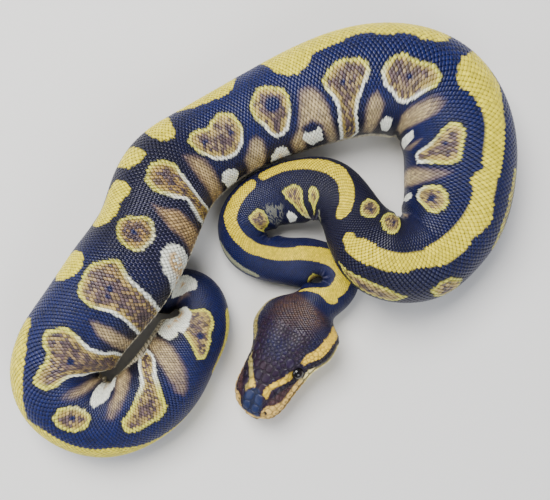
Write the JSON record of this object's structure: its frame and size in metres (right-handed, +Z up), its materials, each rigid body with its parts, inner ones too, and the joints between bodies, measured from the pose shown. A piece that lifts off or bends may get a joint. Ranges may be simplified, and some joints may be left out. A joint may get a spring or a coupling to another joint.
{
  "type": "coiled ball python",
  "caption": "Young ball python resting on its belly in a loose coil, head laid out in front, still life-size animal model with a dark and yellow pattern.",
  "frame": {"origin": "on the floor under the middle of the coil's outline", "axes": "+Z up, away from the floor the belly rests on; +X along the longest extent of the coil; +Y across it, away from the head, which points to -Y"},
  "size_m": [0.1865, 0.1613, 0.0453],
  "materials": {
    "scaly_skin": "smooth glossy scales, blue-black with a yellow back stripe, brown and yellow saddles on the flanks and a cream belly",
    "eye": "wet-looking dark eye under a clear scale"
  },
  "bodies": {
    "root": {"head": "scaly_skin", "lower_jaw": "scaly_skin", "eye_left": "eye", "eye_right": "eye", "neck_1": "scaly_skin", "neck_2": "scaly_skin", "trunk_1": "scaly_skin", "trunk_2": "scaly_skin", "trunk_3": "scaly_skin", "trunk_4": "scaly_skin", "trunk_5": "scaly_skin", "trunk_6": "scaly_skin", "trunk_7": "scaly_skin", "trunk_8": "scaly_skin", "trunk_9": "scaly_skin", "trunk_10": "scaly_skin", "trunk_11": "scaly_skin", "trunk_12": "scaly_skin", "tail_1": "scaly_skin", "tail_2": "scaly_skin"}
  },
  "joints": []
}
